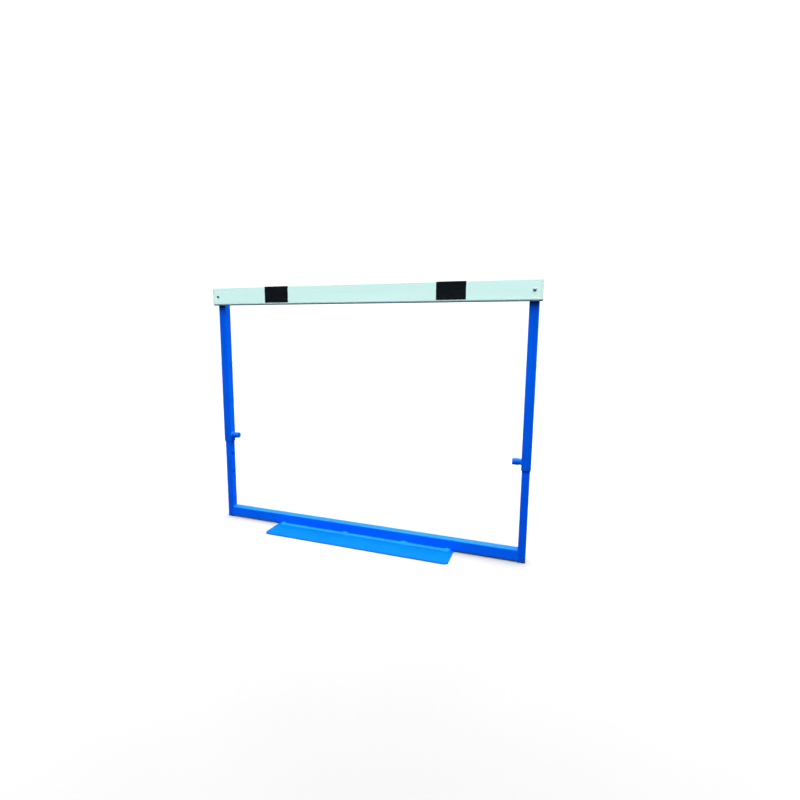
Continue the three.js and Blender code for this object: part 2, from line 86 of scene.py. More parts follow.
# Colours, linear
BLUE = (0.0005, 0.0895, 0.735)
BLUE_DEEP = (0.0004, 0.0765, 0.655)
BLUE_PALE = (0.01, 0.17, 0.80)
# Painted shadow: darker blue under the outer tube's end on the right tube
SHADOW_BLUE = (0.0004, 0.012, 0.28)
BLUE_GLOSS = (0.2, 0.7, 1.0)
BLUE_SHEEN = (0.0, 0.85, 1.0)
RUBBED_BLUE = (0.0005, 0.076, 0.715)
RUBBED_DEEP = (0.0004, 0.065, 0.64)
# The plate's enamel, painted darker than the tubes' as shade against the strong light on its top
PLATE_SHADED_BLUE = (0.0003, 0.073, 0.56)
PLATE_SHADED_DEEP = (0.0003, 0.066, 0.50)
# Painted shade: darker blue on the plate's front edge
PLATE_EDGE_SHADE = (0.005, 0.095, 0.34)
KNOB_BLUE = (0.0008, 0.081, 0.68)
KNOB_DEEP = (0.0006, 0.072, 0.60)
# The welds' enamel, painted paler than the tubes' as a highlight on the beads
WELD_HIGHLIGHT_BLUE = (0.004, 0.145, 0.74)
WELD_HIGHLIGHT_DEEP = (0.003, 0.125, 0.66)
BAR_PALE = (0.60, 0.86, 0.825)
BAR_SHADE = (0.545, 0.795, 0.757)
# Painted shade: grey on the board's ends and top
BAR_EDGE_SHADE_GREY = (0.405, 0.50, 0.455)
BAR_GLOSS = (0.8, 1.0, 1.0)
TAPE_BLACK = (0.0028, 0.0052, 0.0080)
TAPE_WORN = (0.0042, 0.0078, 0.0105)
PLASTIC_BLACK = (0.008, 0.009, 0.011)
PLASTIC_WORN = (0.014, 0.015, 0.017)
ZINC = (0.50, 0.52, 0.54)
ZINC_DULL = (0.36, 0.38, 0.40)
BOLT_GREY = (0.36, 0.46, 0.45)
BOLT_DARK = (0.22, 0.30, 0.29)
SPRING = (0.27, 0.28, 0.30)
SPRING_OIL = (0.20, 0.20, 0.21)
BRASS = (0.48, 0.33, 0.08)
BRASS_DULL = (0.36, 0.24, 0.06)
FLOOR_GREY = (0.190, 0.190, 0.190)
FLOOR_PALE = (0.196, 0.196, 0.196)
BLACK = (0, 0, 0)
WHITE = (1, 1, 1)

# Finishes: where nearly all values of a noise lie, and where wear, painted shade and painted shadow start and
# are full
NOISE_SPAN = (0.3, 0.7)
# Where the painted shadow under the outer tube's end fades in and ends
SHADOW_FADE = (OUTER_TUBE_BOTTOM - 0.018, OUTER_TUBE_BOTTOM)
SHADOW_END = (OUTER_TUBE_BOTTOM, OUTER_TUBE_BOTTOM + 0.001)
# Where the painted shade on the plate's front edge ends, below its face
PLATE_SHADE_TO_FACE = (0.0030, 0.0038)
PLATE_DULLNESS = 0.12
# Where the painted shade on the board's ends and top starts and is full
BAR_END_SHADE_SPAN = (0.592, 0.6015)
BAR_TOP_SHADE_SPAN = (0.9118, 0.9134)


# Materials

def math_node(tree, operation, first, second):
    """A math node's result. Each value is a number or another node's output."""
    node = tree.nodes.new("ShaderNodeMath")
    node.operation = operation
    for socket, value in zip(node.inputs, (first, second)):
        if isinstance(value, (int, float)):
            socket.default_value = value
        else:
            tree.links.new(value, socket)
    return node.outputs["Value"]


class Shader:
    """A material's node tree, with short ways to add the nodes that the finishes share."""

    def __init__(self, name, roughness, metallic=0.0, specular=0.5, gloss=WHITE):
        self.material = bpy.data.materials.new(name)
        self.material.use_nodes = True
        self.tree = self.material.node_tree
        self.surface = self.tree.nodes["Principled BSDF"]
        self.place = self.tree.nodes.new("ShaderNodeTexCoord").outputs["Object"]
        self.uniform("Roughness", roughness)
        self.uniform("Metallic", metallic)
        self.uniform("Specular IOR Level", specular)
        self.uniform("Specular Tint", gloss)

    def uniform(self, name, value):
        """Sets one of the surface's own sockets to a number or, from a tuple, to a colour."""
        value = (*value, 1) if isinstance(value, tuple) else value
        self.surface.inputs[name].default_value = value

    def sheen(self, weight, roughness, tint):
        self.uniform("Sheen Weight", weight)
        self.uniform("Sheen Roughness", roughness)
        self.uniform("Sheen Tint", tint)

    def noise(self, scale, detail=3.0, stretch=(1, 1, 1), rough=0.5):
        """Noise of a number of features per metre, drawn out along an axis by a small stretch value."""
        mapping = self.tree.nodes.new("ShaderNodeMapping")
        mapping.inputs["Scale"].default_value = stretch
        self.tree.links.new(self.place, mapping.inputs["Vector"])
        texture = self.tree.nodes.new("ShaderNodeTexNoise")
        texture.inputs["Scale"].default_value = scale
        texture.inputs["Detail"].default_value = detail
        texture.inputs["Roughness"].default_value = rough
        self.tree.links.new(mapping.outputs["Vector"], texture.inputs["Vector"])
        return texture.outputs["Fac"]

    def remap(self, value, source, target=(0.0, 1.0)):
        """Takes a source range to a target range, and holds what lies outside at the target's ends."""
        node = self.tree.nodes.new("ShaderNodeMapRange")
        node.inputs["From Min"].default_value = source[0]
        node.inputs["From Max"].default_value = source[1]
        node.inputs["To Min"].default_value = target[0]
        node.inputs["To Max"].default_value = target[1]
        self.tree.links.new(value, node.inputs["Value"])
        return node.outputs["Result"]

    def math(self, operation, first, second):
        return math_node(self.tree, operation, first, second)

    def along(self, axis):
        """The distance from the origin along one axis, which is the place in the frame at rest."""
        parts = self.tree.nodes.new("ShaderNodeSeparateXYZ")
        self.tree.links.new(self.place, parts.inputs["Vector"])
        return parts.outputs[axis]

    def blend(self, factor, first, second):
        """A colour between two, each of them a tuple or another node's output."""
        node = self.tree.nodes.new("ShaderNodeMix")
        node.data_type = "RGBA"
        self.tree.links.new(factor, node.inputs["Factor"])
        for name, value in (("A_Color", first), ("B_Color", second)):
            socket = next(item for item in node.inputs if item.identifier == name)
            if isinstance(value, tuple):
                socket.default_value = (*value, 1)
            else:
                self.tree.links.new(value, socket)
        return next(item for item in node.outputs if item.identifier == "Result_Color")

    def color(self, output):
        self.tree.links.new(output, self.surface.inputs["Base Color"])

    def roughness(self, output):
        self.tree.links.new(output, self.surface.inputs["Roughness"])

    def bump(self, *layers):
        """Bumps from (height output, metres) pairs, laid over each other."""
        below = None
        for output, distance in layers:
            node = self.tree.nodes.new("ShaderNodeBump")
            node.inputs["Strength"].default_value = 1.0
            node.inputs["Distance"].default_value = distance
            self.tree.links.new(output, node.inputs["Height"])
            if below:
                self.tree.links.new(below, node.inputs["Normal"])
            below = node.outputs["Normal"]
        self.tree.links.new(below, self.surface.inputs["Normal"])


def worn(shader, tone, rough, marks, patches):
    """Pale, rougher wear where marks and patches meet. Returns the new tone and roughness."""
    wear = shader.math("MULTIPLY", marks, patches)
    return shader.blend(wear, tone, BLUE_PALE), shader.math("ADD", rough, wear)


def painted_shadow_line(shader):
    """How dark the painted shadow is on the right tube just under the outer tube's end."""
    height = shader.along("Z")
    fade = shader.math("POWER", shader.remap(height, SHADOW_FADE), 2.0)
    under = shader.remap(height, SHADOW_END, (1.0, 0.0))
    right = shader.remap(shader.along("X"), (0.0, 0.1))
    patches = shader.remap(shader.noise(130.0), (0.3, 0.6), (0.65, 0.95))
    line = shader.math("MULTIPLY", shader.math("MULTIPLY", fade, under), right)
    return shader.math("MULTIPLY", line, patches)


def sliding_wear_and_shadow(shader, tone, rough):
    """Streaks along a tube that slides, in patches, and a painted shadow line under the outer tube's end."""
    streaks = shader.noise(420.0, detail=2.0, stretch=(1.0, 1.0, 0.02))
    marks = shader.remap(streaks, (0.56, 0.70))
    patches = shader.remap(shader.noise(16.0), (0.45, 0.65), (0.0, 0.28))
    tone, rough = worn(shader, tone, rough, marks, patches)
    return shader.blend(painted_shadow_line(shader), tone, SHADOW_BLUE), rough


def foot_wear_and_shade(shader, tone, rough):
    """Scrapes along a plate that feet and ground scuff, in patches, and painted shade on the edge below its
    face.
    """
    scrapes = shader.noise(260.0, detail=4.0, stretch=(0.12, 1.0, 1.0))
    marks = shader.remap(scrapes, (0.58, 0.72))
    patches = shader.remap(shader.noise(11.0), (0.45, 0.7), (0.0, 0.18))
    tone, rough = worn(shader, tone, rough, marks, patches)
    # Painted shade on the plate's front edge
    edge = shader.remap(shader.along("Z"), PLATE_SHADE_TO_FACE, (1.0, 0.0))
    return shader.blend(edge, tone, PLATE_EDGE_SHADE), shader.math("ADD", rough, PLATE_DULLNESS)


def blue_paint(name, gloss, glow, deep=BLUE_DEEP, full=BLUE, wear=None):
    """Brushed-on blue enamel: slow drifts in its depth, a pale mottle, brush waves and fine peel.

    gloss is the strength of its mirror image and glow that of the cyan sheen seen along its faces.
    wear takes the shader, the tone and the roughness, and returns the last two as worn, with any painted
    shade or shadow laid on."""
    shader = Shader(name, roughness=0.3, specular=gloss, gloss=BLUE_GLOSS)
    shader.sheen(glow, roughness=0.4, tint=BLUE_SHEEN)
    drift = shader.noise(9.0, detail=4.0)
    tone = shader.blend(shader.remap(drift, NOISE_SPAN), deep, full)
    mottle = shader.remap(shader.noise(180.0, detail=5.0, rough=0.7), (0.45, 0.75), (0.0, 0.2))
    tone = shader.blend(mottle, tone, BLUE_PALE)
    rough = shader.remap(drift, NOISE_SPAN, (0.24, 0.34))
    if wear:
        tone, rough = wear(shader, tone, rough)
    shader.color(tone)
    shader.roughness(rough)
    waves = shader.noise(38.0, detail=2.0)
    peel = shader.noise(760.0, detail=2.0)
    shader.bump((waves, 0.00025), (peel, 0.00003))
    return shader.material


def bar_paint():
    """Pale satin paint over a softwood board, whose grain still shows a little along its length, with painted
    shade greyer towards its ends and over its top.
    """
    shader = Shader("bar_paint_satin", roughness=0.42, specular=0.3, gloss=BAR_GLOSS)
    grain = shader.noise(150.0, detail=5.0, stretch=(0.02, 1.0, 1.0), rough=0.6)
    bands = shader.noise(24.0, stretch=(0.06, 1.0, 1.0))
    tone = shader.blend(shader.remap(bands, NOISE_SPAN), BAR_SHADE, BAR_PALE)
    lines = shader.remap(grain, (0.52, 0.72), (0.0, 0.22))
    tone = shader.blend(lines, tone, BAR_SHADE)
    # Painted shade: greyer, in chips, towards the board's ends and over its top
    from_middle = shader.math("ABSOLUTE", shader.along("X"), 0.0)
    end_shade = shader.remap(from_middle, BAR_END_SHADE_SPAN, (0.0, 0.45))
    top_shade = shader.remap(shader.along("Z"), BAR_TOP_SHADE_SPAN, (0.0, 0.55))
    chips = shader.remap(shader.noise(210.0, detail=4.0), (0.35, 0.65), (0.5, 1.0))
    wear = shader.math("MULTIPLY", shader.math("MAXIMUM", end_shade, top_shade), chips)
    shader.color(shader.blend(wear, tone, BAR_EDGE_SHADE_GREY))
    shader.roughness(shader.remap(grain, NOISE_SPAN, (0.36, 0.48)))
    pores = shader.noise(900.0, detail=2.0)
    shader.bump((grain, 0.00014), (pores, 0.00002))
    return shader.material


def black_tape():
    """Smooth vinyl with a soft stretch grain and a few dull rubbed places."""
    shader = Shader("black_tape_vinyl", roughness=0.4, specular=0.07)
    rub = shader.noise(70.0, detail=4.0, stretch=(0.3, 1.0, 1.0))
    shader.color(shader.blend(shader.remap(rub, (0.5, 0.75)), TAPE_BLACK, TAPE_WORN))
    shader.roughness(shader.remap(rub, (0.4, 0.7), (0.34, 0.5)))
    creases = shader.noise(30.0, detail=2.0)
    grain = shader.noise(1100.0, detail=1.0)
    shader.bump((creases, 0.00012), (grain, 0.00001))
    return shader.material


def black_plastic():
    """Moulded plastic with a fine spark-eroded grain."""
    shader = Shader("black_plastic_moulded", roughness=0.5, specular=0.4)
    mottle = shader.noise(120.0)
    shader.color(shader.blend(shader.remap(mottle, (0.4, 0.7)), PLASTIC_BLACK, PLASTIC_WORN))
    shader.roughness(shader.remap(mottle, (0.4, 0.7), (0.45, 0.6)))
    grain = shader.noise(1600.0, detail=2.0)
    shader.bump((grain, 0.00003))
    return shader.material


def metal(name, bright, dull, roughness, scale, stretch=(1.0, 1.0, 1.0), metallic=1.0):
    """Bare or plated metal with fine tool marks."""
    shader = Shader(name, roughness, metallic=metallic)
    cloud = shader.noise(scale / 6)
    marks = shader.noise(scale, detail=2.0, stretch=stretch)
    shader.color(shader.blend(shader.remap(cloud, (0.35, 0.65)), dull, bright))
    shader.roughness(shader.remap(marks, NOISE_SPAN, (roughness - 0.06, roughness + 0.08)))
    shader.bump((marks, 0.00001))
    return shader.material


BLUE_TUBE = blue_paint("blue_paint_enamel", gloss=0.09, glow=0.2)
# The lower tubes' enamel also carries the painted shadow under the outer tube's end
BLUE_RUBBED_SHADOWED = blue_paint(
    "blue_paint_rubbed_shadowed", gloss=0.09, glow=0.2, deep=RUBBED_DEEP, full=RUBBED_BLUE, wear=sliding_wear_and_shadow
)
BLUE_KNOB = blue_paint("blue_paint_polished", gloss=0.16, glow=0.15, deep=KNOB_DEEP, full=KNOB_BLUE)
# The welds' paler enamel is a painted highlight
BLUE_WELD_HIGHLIGHT = blue_paint("blue_paint_weld_highlight", gloss=0.08, glow=0.3, deep=WELD_HIGHLIGHT_DEEP, full=WELD_HIGHLIGHT_BLUE)
# The plate's enamel is darker as painted shade, and painted shade lies on its front edge
BLUE_PLATE_SHADED = blue_paint(
    "blue_paint_scuffed_shaded", gloss=0.008, glow=0.0, deep=PLATE_SHADED_DEEP, full=PLATE_SHADED_BLUE, wear=foot_wear_and_shade
)
BAR = bar_paint()
TAPE = black_tape()
PLASTIC = black_plastic()
STEEL = metal("zinc_steel_plated", ZINC, ZINC_DULL, roughness=0.42, scale=900.0, metallic=0.6)
BOLT = metal("zinc_steel_weathered", BOLT_GREY, BOLT_DARK, roughness=0.5, scale=900.0)
WIRE = metal(
    "spring_steel_oiled", SPRING, SPRING_OIL, roughness=0.3, scale=1200.0, stretch=(0.3, 1.0, 1.0)
)
BUSH = metal("brass_turned", BRASS, BRASS_DULL, roughness=0.34, scale=1500.0, stretch=(1.0, 0.2, 0.2))


# Mesh building

def add_piece(name, mesh, material, node, body):
    """Turns a bmesh into an object that stands for a CAD node, with soft shading between near faces."""
    bmesh.ops.remove_doubles(mesh, verts=mesh.verts, dist=MERGE_DISTANCE)
    bmesh.ops.recalc_face_normals(mesh, faces=mesh.faces)
    for face in mesh.faces:
        face.smooth = True
    for edge in mesh.edges:
        edge.smooth = len(edge.link_faces) == 2 and edge.calc_face_angle() < SHARP_ANGLE
    data = bpy.data.meshes.new(name)
    mesh.to_mesh(data)
    mesh.free()
    piece = bpy.data.objects.new(name, data)
    bpy.context.scene.collection.objects.link(piece)
    data.materials.append(material)
    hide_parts(node)
    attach(piece, body)
    return piece


def middle(node):
    """The middle of a CAD node's box, and its size."""
    low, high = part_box(node)
    return (low + high) / 2, high - low


def moved(mesh, matrix):
    mesh.transform(matrix)
    return mesh


def shifted(mesh, x, y, z):
    return moved(mesh, Matrix.Translation((x, y, z)))


def quarter_turned(mesh, axis, quarters=1):
    """Turns a mesh by quarter turns about one of the frame's axes."""
    return moved(mesh, Matrix.Rotation(quarters * math.pi / 2, 4, axis))


def on_side(mesh, sign):
    """Mirrors a mesh across X = 0 where the sign is negative."""
    return moved(mesh, Matrix.Scale(sign, 4, (1, 0, 0)))


def merged(*meshes):
    """One bmesh that holds all the others' shells."""
    first = meshes[0]
    for other in meshes[1:]:
        data = bpy.data.meshes.new("part")
        other.to_mesh(data)
        other.free()
        first.from_mesh(data)
        bpy.data.meshes.remove(data)
    return first


def temporary(mesh):
    """An object in the scene that holds a copy of a bmesh, for a boolean."""
    bmesh.ops.recalc_face_normals(mesh, faces=mesh.faces)
    data = bpy.data.meshes.new("work")
    mesh.to_mesh(data)
    item = bpy.data.objects.new("work", data)
    bpy.context.scene.collection.objects.link(item)
    return item


def cut(mesh, *tools):
    """Takes closed tool meshes out of a mesh with an exact boolean."""
    work = temporary(mesh)
    cutters = []
    for tool in tools:
        cutter = temporary(tool)
        tool.free()
        cutters.append(cutter)
        modifier = work.modifiers.new("cut", "BOOLEAN")
        modifier.operation = "DIFFERENCE"
        modifier.solver = "EXACT"
        modifier.object = cutter
    bpy.context.view_layer.update()
    result = work.evaluated_get(bpy.context.evaluated_depsgraph_get()).to_mesh()
    mesh.clear()
    mesh.from_mesh(result)
    for item in (work, *cutters):
        spent = item.data
        bpy.data.objects.remove(item)
        bpy.data.meshes.remove(spent)
    return mesh


def rounded_outline(width, depth, radii, inset):
    """A rectangle's outline, inset, from the front right corner on, as points in X and Y.

    radii are those of its front and its rear corners before the inset."""
    half_x = width / 2 - inset
    half_y = depth / 2 - inset
    front, rear = radii
    corners = ((1, -1, front, -90), (1, 1, rear, 0), (-1, 1, rear, 90), (-1, -1, front, 180))
    points = []
    for sign_x, sign_y, radius, start in corners:
        radius = max(radius - inset, LEAST_RADIUS)
        center = Vector((sign_x * (half_x - radius), sign_y * (half_y - radius)))
        angles = [math.radians(start + 90 * step / CORNER_STEPS) for step in range(CORNER_STEPS + 1)]
        arc = [center + radius * Vector((math.cos(angle), math.sin(angle))) for angle in angles]
        before = Vector((math.sin(angles[0]), -math.cos(angles[0])))
        after = Vector((-math.sin(angles[-1]), math.cos(angles[-1])))
        points.append(arc[0] + SUPPORT * before)
        points.extend(arc)
        points.append(arc[-1] + SUPPORT * after)
    return points


def outline_rings(width, depth, radii, path):
    """A rectangle's rounded outline at each (inset, height) pair of a path."""
    rings = []
    for inset, z in path:
        outline = rounded_outline(width, depth, radii, inset)
        rings.append([Vector((point.x, point.y, z)) for point in outline])
    return rings


def skin(rings, cyclic=False):
    """A closed bmesh through rings of as many points each, capped unless its last ring meets its first."""
    mesh = bmesh.new()
    rows = [[mesh.verts.new(point) for point in ring] for ring in rings]
    count = len(rows[0])
    pairs = list(zip(rows, rows[1:]))
    if cyclic:
        pairs.append((rows[-1], rows[0]))
    else:
        mesh.faces.new(rows[0])
        mesh.faces.new(rows[-1])
    for low, high in pairs:
        for index in range(count):
            after = (index + 1) % count
            mesh.faces.new((low[index], low[after], high[after], high[index]))
    return mesh


def rim_arc(size):
    """(inset, rise) pairs round a quarter circle, from the side to the end face."""
    angles = [math.pi / 2 * step / RIM_STEPS for step in range(RIM_STEPS + 1)]
    return [(size * (1 - math.cos(angle)), size * (math.sin(angle) - 1)) for angle in angles]


def tube(width, depth, radius, length, wall=TUBE_WALL, rim=TUBE_RIM):
    """A rectangular tube on Z = 0 with softly broken end edges."""
    ends = rim_arc(rim)
    path = [(inset, length + rise) for inset, rise in ends]
    path += [(wall - inset, length + rise) for inset, rise in reversed(ends)]
    path += [(wall - inset, -rise) for inset, rise in ends]
    path += [(inset, -rise) for inset, rise in reversed(ends)]
    return skin(outline_rings(width, depth, (radius, radius), path), cyclic=True)


def block(width, depth, radii, height, edge):
    """A rectangular block on Z = 0 whose end edges are rounded."""
    arc = rim_arc(edge)
    path = [(inset, -rise) for inset, rise in reversed(arc)]
    path += [(inset, height + rise) for inset, rise in arc]
    return skin(outline_rings(width, depth, radii, path))


def turned_ring(mesh, radius, place, steps):
    """The vertices of one ring about X, or the single one of a point on the axis."""
    if radius == 0:
        return [mesh.verts.new((place, 0, 0))]
    ring = []
    for step in range(steps):
        angle = 2 * math.pi * step / steps
        ring.append(mesh.verts.new((place, radius * math.cos(angle), radius * math.sin(angle))))
    return ring


def turned(profile, steps=TURNED_STEPS):
    """Revolves (radius, place) pairs about X. A profile off the axis closes on itself."""
    mesh = bmesh.new()
    rings = [turned_ring(mesh, radius, place, steps) for radius, place in profile]
    pairs = list(zip(rings, rings[1:]))
    if profile[0][0] != 0:
        pairs.append((rings[-1], rings[0]))
    for first, second in pairs:
        for step in range(steps):
            after = (step + 1) % steps
            if len(first) == 1:
                mesh.faces.new((first[0], second[after], second[step]))
            elif len(second) == 1:
                mesh.faces.new((first[step], first[after], second[0]))
            else:
                mesh.faces.new((first[step], first[after], second[after], second[step]))
    return mesh


def rod(radius, start, stop, steps=HOLE_STEPS):
    """A plain solid rod along X: a cutter for a bore, or a hexagon of six steps."""
    return turned([(0, start), (radius, start), (radius, stop), (0, stop)], steps)


def quarter_arc(radius, place, size, start, steps=3):
    """Profile points of a quarter circle about (radius, place), from a start angle in degrees."""
    angles = [math.radians(start + 90 * step / steps) for step in range(steps + 1)]
    return [(radius + size * math.cos(angle), place + size * math.sin(angle)) for angle in angles]


# Base frame

CROSSMEMBER_RADIUS = 0.003
CROSSMEMBER_HALF_HEIGHT = 0.019
CROSSMEMBER_MIDDLE = 0.0232

PLATE_RADII = (0.014, 0.003)  # front and rear corners
PLATE_RIM = 0.0007


def index_hole(x, inward, height):
    """A cutter for a hole in the side wall whose face is at x, with a small chamfer at the face."""
    profile = [
        (0, -CUT_CLEARANCE),
        (HOLE_RADIUS + HOLE_CHAMFER + CUT_CLEARANCE, -CUT_CLEARANCE),
        (HOLE_RADIUS, HOLE_CHAMFER),
        (HOLE_RADIUS, 2 * TUBE_WALL),
        (0, 2 * TUBE_WALL),
    ]
    cutter = turned(profile, HOLE_STEPS)
    if inward > 0:
        quarter_turned(cutter, "Z", 2)
    return shifted(cutter, x, 0, height)


def lower_upright(label, sign):
    """The inner tube, with the row of index holes in the side that faces the middle."""
    node = f"lower_upright_{label}"
    center, size = middle(node)
    low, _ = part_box(node)
    mesh = shifted(tube(size.x, size.y, LOWER_TUBE_RADIUS, size.z), center.x, center.y, low.z)
    face = center.x - sign * size.x / 2
    cut(mesh, *[index_hole(face, -sign, height) for height in HOLE_HEIGHTS])
    add_piece(f"{node}_tube", mesh, BLUE_RUBBED_SHADOWED, node, "base")


def crossmember():
    center, size = middle("crossmember")
    mesh = quarter_turned(tube(size.z, size.y, CROSSMEMBER_RADIUS, size.x), "Y")
    shifted(mesh, -size.x / 2, center.y, center.z)
    add_piece("crossmember_tube", mesh, BLUE_TUBE, "crossmember", "base")


def base_plate():
    center, size = middle("base_plate")
    mesh = block(size.x, size.y, PLATE_RADII, size.z, PLATE_RIM)
    shifted(mesh, center.x, center.y, 0)
    add_piece("base_plate_sheet", mesh, BLUE_PLATE_SHADED, "base_plate", "base")


# Welds of the base frame

TACKS = (-0.94, -0.175, 0.485, 0.95)  # their places, as shares of the plate's half length
TACK_HALF_LENGTH = 0.011
PLATE_HALF_LENGTH = 0.35
WELD_HEIGHT = 0.005
WELD_REACH = 0.010
TACK_RISE = 0.0042
TACK_REACH = 0.0027
WELD_STEP = 0.0009
WELD_ARC_STEPS = 14
WELD_TAPER = 0.012
WELD_END_GAP = 0.0002
WELD_ROOT = Vector((0, 0.0003, -0.0002))  # how far the bead's root is sunk into the steel
WELD_FACE_DROP = 0.0001
RIPPLE_PITCH = 0.0024
RIPPLE_SHARE = 0.10

CORNER_BEAD_STEP = 0.0007
CORNER_BEAD_ARC_STEPS = 10
CORNER_BEAD_TAPER = 0.002
CORNER_BEAD_HOLLOW = 0.62
CORNER_BEAD_RIPPLE = 0.07
CORNER_BEAD_ROOT = 0.0002
CORNER_BEAD_SINK = 0.0001
REAR_BEAD_LEG = 0.0045
REAR_BEAD_LENGTH = 0.036
REAR_BEAD_Y = 0.0127

SEAM_HALF_STEPS = 12
SEAM_ARC_STEPS = 8
SEAM_END_GAP = 0.00015
SEAM_SINK = 0.00002
SEAM_ROOT = 0.0011
SEAM_SIDE_LIFT = 0.00025
SEAM_FRONT_LIFT = 0.00015
SEAM_BACK = 0.0008


def bead_taper(distance, reach, least):
    """How full a bead is at a distance from its end, where it tapers over a reach."""
    return math.sqrt(min(1, max(least, distance / reach)))


def tack_share(x):
    """How much of a tack's full size the bead has at x."""
    offsets = [(x - place * PLATE_HALF_LENGTH) / TACK_HALF_LENGTH for place in TACKS]
    return max(math.exp(-(offset ** 4)) for offset in offsets)


def ripple(x, share):
    """The weld's crescents: 0 on a crest and 1 in a trough, bowed back across the bead."""
    bow = 1.1 * (1 - (2 * share - 1) ** 2)
    return abs(math.sin(math.pi * (x / RIPPLE_PITCH + bow)))


def plate_weld_ring(corner, tall, deep):
    """The bead's outline at one place: its root, then its face from the crossmember down to the plate."""
    ring = [corner + WELD_ROOT]
    for index in range(WELD_ARC_STEPS + 1):
        share = index / WELD_ARC_STEPS
        angle = math.pi / 2 * share
        bulge = (1 + math.sin(2 * angle) / 4) / (math.cos(angle) + math.sin(angle))
        bulge *= 1 - RIPPLE_SHARE * ripple(corner.x, share) * math.sin(math.pi * share)
        reach = deep * math.sin(angle) * bulge
        rise = tall * math.cos(angle) * bulge
        ring.append(corner + Vector((0, -reach, rise - WELD_FACE_DROP)))
    return ring


def plate_weld():
    """The hand-laid fillet along the crossmember's foot, with ripples, drifts in its size and four tacks."""
    low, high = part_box("plate_weld")
    half = (high.x - low.x) / 2 - WELD_END_GAP
    steps = round(2 * half / WELD_STEP)
    rings = []
    for step in range(steps + 1):
        x = -half + 2 * half * step / steps
        tack = tack_share(x)
        size = bead_taper(half - abs(x), WELD_TAPER, least=0.02)
        size *= 0.95 + 0.10 * noise.noise(Vector((x * 24, 3.1, 0)))
        tall = size * (WELD_HEIGHT + TACK_RISE * tack)
        deep = size * (WELD_REACH + TACK_REACH * tack)
        rings.append(plate_weld_ring(Vector((x, high.y, low.z)), tall, deep))
    add_piece("plate_weld_bead", skin(rings), BLUE_WELD_HIGHLIGHT, "plate_weld", "base")


def corner_bead(leg, length):
    """A rippled hollow fillet along Y in the corner between +X and +Z, centred on the origin."""
    steps = round(length / CORNER_BEAD_STEP)
    rings = []
    for step in range(steps + 1):
        y = -length / 2 + length * step / steps
        size = leg * bead_taper(length / 2 - abs(y), CORNER_BEAD_TAPER, least=0.05)
        size *= 0.95 + 0.08 * noise.noise(Vector((y * 140, 0.4, leg * 1000)))
        ring = [Vector((-CORNER_BEAD_ROOT, y, -CORNER_BEAD_ROOT))]
        for index in range(CORNER_BEAD_ARC_STEPS + 1):
            share = index / CORNER_BEAD_ARC_STEPS
            point = Vector(((1 - share) ** 2, 0, share ** 2)) * CORNER_BEAD_HOLLOW
            point += Vector((1 - share, 0, share)) * (1 - CORNER_BEAD_HOLLOW)
            point *= size * (1 - CORNER_BEAD_RIPPLE * ripple(y, share) * math.sin(math.pi * share))
            ring.append(Vector((point.x - CORNER_BEAD_SINK, y, point.z - CORNER_BEAD_SINK)))
        rings.append(ring)
    return skin(rings)


def flush_seam():
    """The ground weld that fills the round corner between the crossmember's end and the upright's front.

    Its +X points into the upright, from the upright's side face, its -Y to the front, and its Z up
    from the crossmember's middle."""
    front = -LOWER_TUBE_HALF_WIDTH
    rings = []
    for step in range(2 * SEAM_HALF_STEPS + 1):
        slope = math.sin(math.pi / 2 * (step / SEAM_HALF_STEPS - 1))
        z = (CROSSMEMBER_HALF_HEIGHT - SEAM_END_GAP) * slope
        over = max(0.0, abs(z) - (CROSSMEMBER_HALF_HEIGHT - CROSSMEMBER_RADIUS))
        rounding = CROSSMEMBER_RADIUS - math.sqrt(CROSSMEMBER_RADIUS ** 2 - over ** 2)
        face = front + rounding + SEAM_SINK
        ring = [Vector((-SEAM_ROOT, face, z))]
        for index in range(SEAM_ARC_STEPS + 1):
            angle = math.pi / 2 * index / SEAM_ARC_STEPS
            x = LOWER_TUBE_RADIUS * (1 - math.sin(angle)) + SEAM_SIDE_LIFT
            y = front + LOWER_TUBE_RADIUS * (1 - math.cos(angle)) + SEAM_FRONT_LIFT
            ring.append(Vector((x, max(y, face), z)))
        ring.append(Vector((-SEAM_ROOT, front + LOWER_TUBE_RADIUS + SEAM_BACK, z)))
        rings.append(ring)
    return skin(rings)


def crossmember_weld(label, sign):
    """The welds at one end of the crossmember: a fillet on top, a flush seam in front and a fillet behind."""
    node = f"crossmember_weld_{label}"
    low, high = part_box(node)
    size = high - low
    corner = high.x if sign > 0 else low.x
    face = sign * LOWER_TUBE_INNER_FACE
    top = on_side(corner_bead(size.x, size.y), -sign)
    shifted(top, corner, 0, low.z)
    behind = quarter_turned(corner_bead(REAR_BEAD_LEG, REAR_BEAD_LENGTH), "X")
    moved(behind, Matrix.Scale(-1, 4, (0, 1, 0)))
    shifted(on_side(behind, sign), face, REAR_BEAD_Y, CROSSMEMBER_MIDDLE)
    seam = shifted(on_side(flush_seam(), sign), face, 0, CROSSMEMBER_MIDDLE)
    mesh = merged(top, seam, behind)
    add_piece(f"crossmember_welds_{label}", mesh, BLUE_TUBE, node, "base")


# Plugs and caps

PLUG_FLANGE = 0.0026
PLUG_FLANGE_EDGE = 0.0011
PLUG_STEM = 0.016
PLUG_STEM_RADIUS = 0.001
PLUG_STEM_RIM = 0.0004
PLUG_WALL = 0.0018
PLUG_PLAY = 0.0018
PLUG_RIBS = 3
PLUG_RIB = 0.0012
PLUG_RIB_RIM = 0.0003


